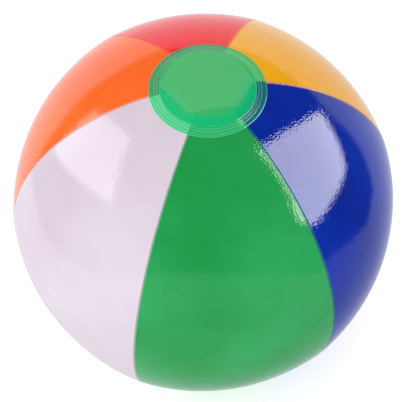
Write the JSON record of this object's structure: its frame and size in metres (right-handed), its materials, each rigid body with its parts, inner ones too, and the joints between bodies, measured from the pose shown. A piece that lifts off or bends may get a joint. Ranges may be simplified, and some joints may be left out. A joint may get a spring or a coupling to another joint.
{
  "type": "inflatable beach ball",
  "caption": "Round inflatable ball of welded coloured film panels with round end caps and a pop-out inflation valve with a stopper on a strap.",
  "frame": {"origin": "centre of the inflated ball", "axes": "+Z through the middle of the two end caps, with the ball standing on the bottom cap; -Y out of the middle of the green panel; +X out of the seam between the blue and yellow panels"},
  "size_m": [0.3, 0.297, 0.2973],
  "materials": {
    "film_green": "glossy plasticised PVC film",
    "film_blue": "glossy plasticised PVC film",
    "film_yellow": "glossy plasticised PVC film",
    "film_red": "glossy plasticised PVC film",
    "film_orange": "glossy plasticised PVC film",
    "film_white": "glossy plasticised PVC film",
    "film_cap": "glossy translucent PVC film",
    "valve_moulding": "soft translucent PVC moulding"
  },
  "bodies": {
    "ball": {"panel_green": "film_green", "panel_blue": "film_blue", "panel_yellow": "film_yellow", "panel_red": "film_red", "panel_orange": "film_orange", "panel_white": "film_white", "top_cap": "film_cap", "bottom_cap": "film_cap", "valve_flange": "valve_moulding", "valve_web": "valve_moulding"},
    "stem": {"valve_stem": "valve_moulding", "valve_strap": "valve_moulding"},
    "plug": {"valve_plug": "valve_moulding"},
    "flap": {"valve_flap": "valve_moulding"}
  },
  "joints": [
    {"name": "valve_push", "type": "slide", "parent": "ball", "child": "stem", "axis": [0, 0.766, -0.6428], "range_m": [-0.012, 0], "deforming": ["valve_web"]},
    {"name": "plug_swing", "type": "hinge", "parent": "stem", "child": "plug", "pos_m": [0, 0.12886, -0.09768], "axis": [1, 0, 0], "range_deg": [0, 115], "deforming": ["valve_strap"]},
    {"name": "flap_swing", "type": "hinge", "parent": "stem", "child": "flap", "pos_m": [0, 0.11151, -0.08809], "axis": [1, 0, 0], "range_deg": [-60, 0], "stiffness_Nm_per_rad": 0.0001}
  ]
}
